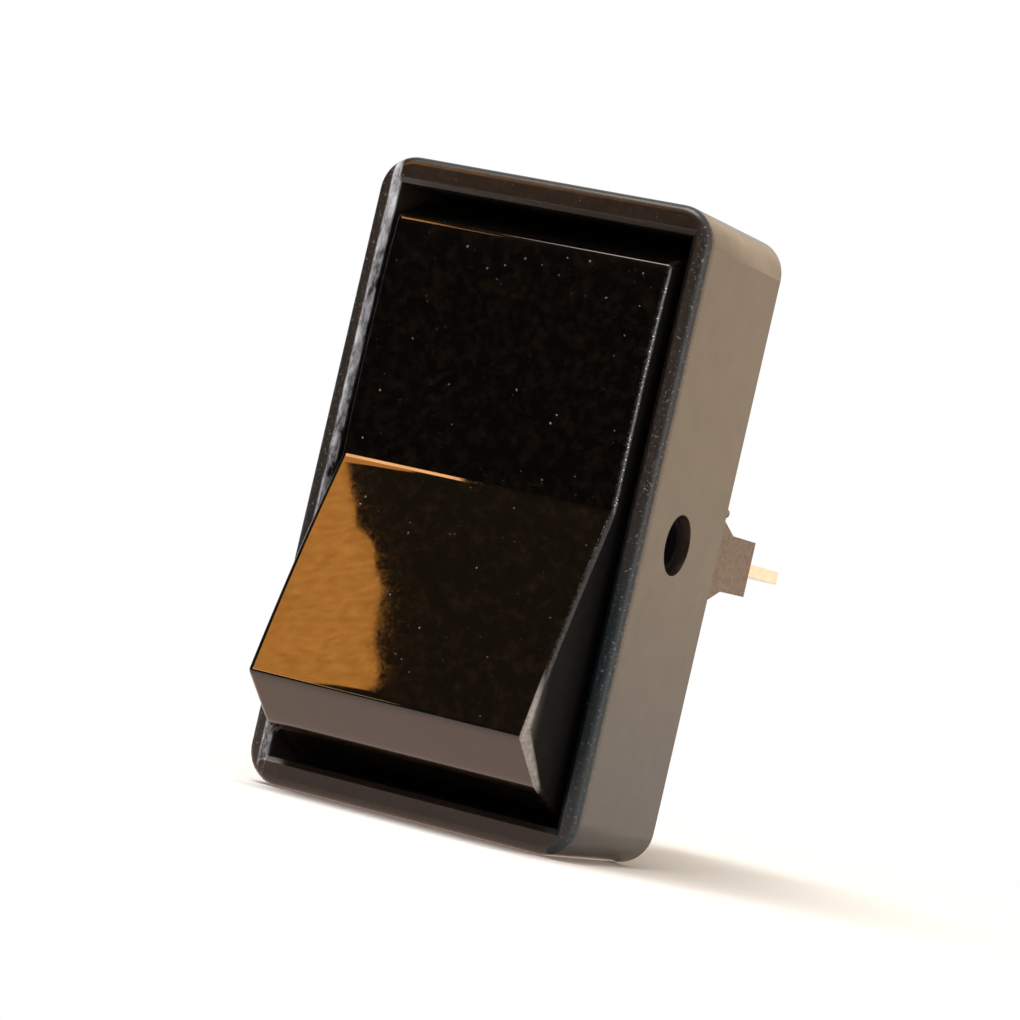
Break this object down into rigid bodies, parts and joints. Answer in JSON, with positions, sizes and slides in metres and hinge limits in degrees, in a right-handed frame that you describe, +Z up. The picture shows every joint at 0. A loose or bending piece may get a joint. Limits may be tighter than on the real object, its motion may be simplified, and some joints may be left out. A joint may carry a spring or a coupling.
{
  "type": "panel rocker switch",
  "caption": "On-off rocker switch with a deep rounded bezel frame, a dished tilting rocker, side pivot holes, and a rear body with quick-connect tabs.",
  "frame": {"origin": "centre of the panel cut-out in the plane where the frame seats on the panel", "axes": "+Y points behind the panel and the front faces -Y, +Z is up along the rocker, +X is to the right seen from the front"},
  "size_m": [0.0208, 0.0389, 0.0368],
  "materials": {
    "frame_plastic": "fine matt moulded black",
    "rocker_plastic": "polished black",
    "base_plastic": "matt brown-black moulding",
    "nylon": "natural nylon",
    "copper_strip": "rolled copper alloy",
    "contact_silver": "silver faced",
    "spring_steel": "blue-grey spring steel",
    "rivet_steel": "plated"
  },
  "bodies": {
    "switch_body": {"housing": "frame_plastic", "terminal_base": "base_plastic", "base_rivets": "rivet_steel", "common_terminal": "copper_strip", "load_terminal": "copper_strip", "fixed_contact": "contact_silver", "upper_clip": "spring_steel", "lower_clip": "spring_steel"},
    "rocker": {"rocker": "rocker_plastic", "plunger_spring": "spring_steel"},
    "plunger": {"plunger": "nylon"},
    "contact_arm": {"contact_arm": "copper_strip", "moving_contact": "contact_silver"}
  },
  "joints": [
    {"name": "rocker_tilt", "type": "hinge", "parent": "switch_body", "child": "rocker", "pos_m": [0, -0.00625, 0], "axis": [1, 0, 0], "range_deg": [0, 22]},
    {"name": "plunger_slide", "type": "slide", "parent": "rocker", "child": "plunger", "axis": [0, -0.9816, 0.1908], "range_m": [0, 0.0006], "stiffness_N_per_m": 400, "springref_m": -0.003, "deforming": ["plunger_spring"]},
    {"name": "arm_swing", "type": "hinge", "parent": "switch_body", "child": "contact_arm", "pos_m": [0, 0.0042, 0], "axis": [1, 0, 0], "range_deg": [-9.9, 0]}
  ],
  "couplings": [
    {"joint": "arm_swing", "follows": "rocker_tilt", "ratio": -0.45}
  ]
}
